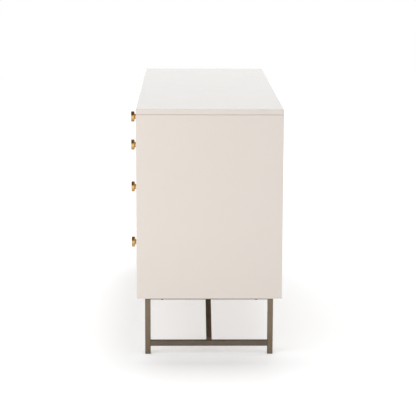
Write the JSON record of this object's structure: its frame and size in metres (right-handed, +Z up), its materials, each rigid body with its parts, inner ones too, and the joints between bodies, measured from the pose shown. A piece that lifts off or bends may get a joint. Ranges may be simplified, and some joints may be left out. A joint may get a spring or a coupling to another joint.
{
  "type": "campaign chest",
  "caption": "Low wide chest of drawers: pale lacquered case with flush fronts and round brass knobs, on a braced square-tube steel base.",
  "frame": {"origin": "on the floor, under the middle of the bounding box with the knobs counted", "axes": "+Z up, -Y out of the drawer fronts, +X along the length to the end with four drawers"},
  "size_m": [1.524, 0.5286, 0.859],
  "materials": {
    "lacquered_board": "satin lacquer in a warm off-white over board",
    "back_board": "sealed plywood",
    "drawer_board": "clear-coated solid wood",
    "drawer_floor": "clear-coated plywood",
    "dowel_wood": "plain beech",
    "brass": "satin turned brass",
    "base_steel": "satin bronze coat on steel tube",
    "slide_steel": "zinc-plated sheet",
    "screw_steel": "dark plated",
    "glide_plastic": "moulded black"
  },
  "bodies": {
    "case_and_base": {"top_panel": "lacquered_board", "side_panel_left": "lacquered_board", "side_panel_right": "lacquered_board", "centre_partition": "lacquered_board", "bottom_panel": "lacquered_board", "back_panel": "back_board", "back_screws": "slide_steel", "case_dowels": "dowel_wood", "slide_channels": "slide_steel", "slide_screws": "slide_steel", "leg_front_left": "base_steel", "leg_front_right": "base_steel", "leg_back_left": "base_steel", "leg_back_right": "base_steel", "top_bar_left": "base_steel", "top_bar_right": "base_steel", "cross_rail_left": "base_steel", "cross_rail_right": "base_steel", "brace_left": "base_steel", "brace_right": "base_steel", "foot_glides": "glide_plastic", "base_screws": "screw_steel"},
    "drawer_left_1": {"drawer_left_1_front": "lacquered_board", "drawer_left_1_box": "drawer_board", "drawer_left_1_bottom": "drawer_floor", "drawer_left_1_knob": "brass", "drawer_left_1_runners_and_screws": "slide_steel"},
    "drawer_left_2": {"drawer_left_2_front": "lacquered_board", "drawer_left_2_box": "drawer_board", "drawer_left_2_bottom": "drawer_floor", "drawer_left_2_knob": "brass", "drawer_left_2_runners_and_screws": "slide_steel"},
    "drawer_left_3": {"drawer_left_3_front": "lacquered_board", "drawer_left_3_box": "drawer_board", "drawer_left_3_bottom": "drawer_floor", "drawer_left_3_knob": "brass", "drawer_left_3_runners_and_screws": "slide_steel"},
    "drawer_right_1": {"drawer_right_1_front": "lacquered_board", "drawer_right_1_box": "drawer_board", "drawer_right_1_bottom": "drawer_floor", "drawer_right_1_knob": "brass", "drawer_right_1_runners_and_screws": "slide_steel"},
    "drawer_right_2": {"drawer_right_2_front": "lacquered_board", "drawer_right_2_box": "drawer_board", "drawer_right_2_bottom": "drawer_floor", "drawer_right_2_knob": "brass", "drawer_right_2_runners_and_screws": "slide_steel"},
    "drawer_right_3": {"drawer_right_3_front": "lacquered_board", "drawer_right_3_box": "drawer_board", "drawer_right_3_bottom": "drawer_floor", "drawer_right_3_knob": "brass", "drawer_right_3_runners_and_screws": "slide_steel"},
    "drawer_right_4": {"drawer_right_4_front": "lacquered_board", "drawer_right_4_box": "drawer_board", "drawer_right_4_bottom": "drawer_floor", "drawer_right_4_knob": "brass", "drawer_right_4_runners_and_screws": "slide_steel"}
  },
  "joints": [
    {"name": "drawer_left_1_slide", "type": "slide", "parent": "case_and_base", "child": "drawer_left_1", "axis": [0, -1, 0], "range_m": [0, 0.3]},
    {"name": "drawer_left_2_slide", "type": "slide", "parent": "case_and_base", "child": "drawer_left_2", "axis": [0, -1, 0], "range_m": [0, 0.3]},
    {"name": "drawer_left_3_slide", "type": "slide", "parent": "case_and_base", "child": "drawer_left_3", "axis": [0, -1, 0], "range_m": [0, 0.3]},
    {"name": "drawer_right_1_slide", "type": "slide", "parent": "case_and_base", "child": "drawer_right_1", "axis": [0, -1, 0], "range_m": [0, 0.3]},
    {"name": "drawer_right_2_slide", "type": "slide", "parent": "case_and_base", "child": "drawer_right_2", "axis": [0, -1, 0], "range_m": [0, 0.3]},
    {"name": "drawer_right_3_slide", "type": "slide", "parent": "case_and_base", "child": "drawer_right_3", "axis": [0, -1, 0], "range_m": [0, 0.3]},
    {"name": "drawer_right_4_slide", "type": "slide", "parent": "case_and_base", "child": "drawer_right_4", "axis": [0, -1, 0], "range_m": [0, 0.3]}
  ]
}
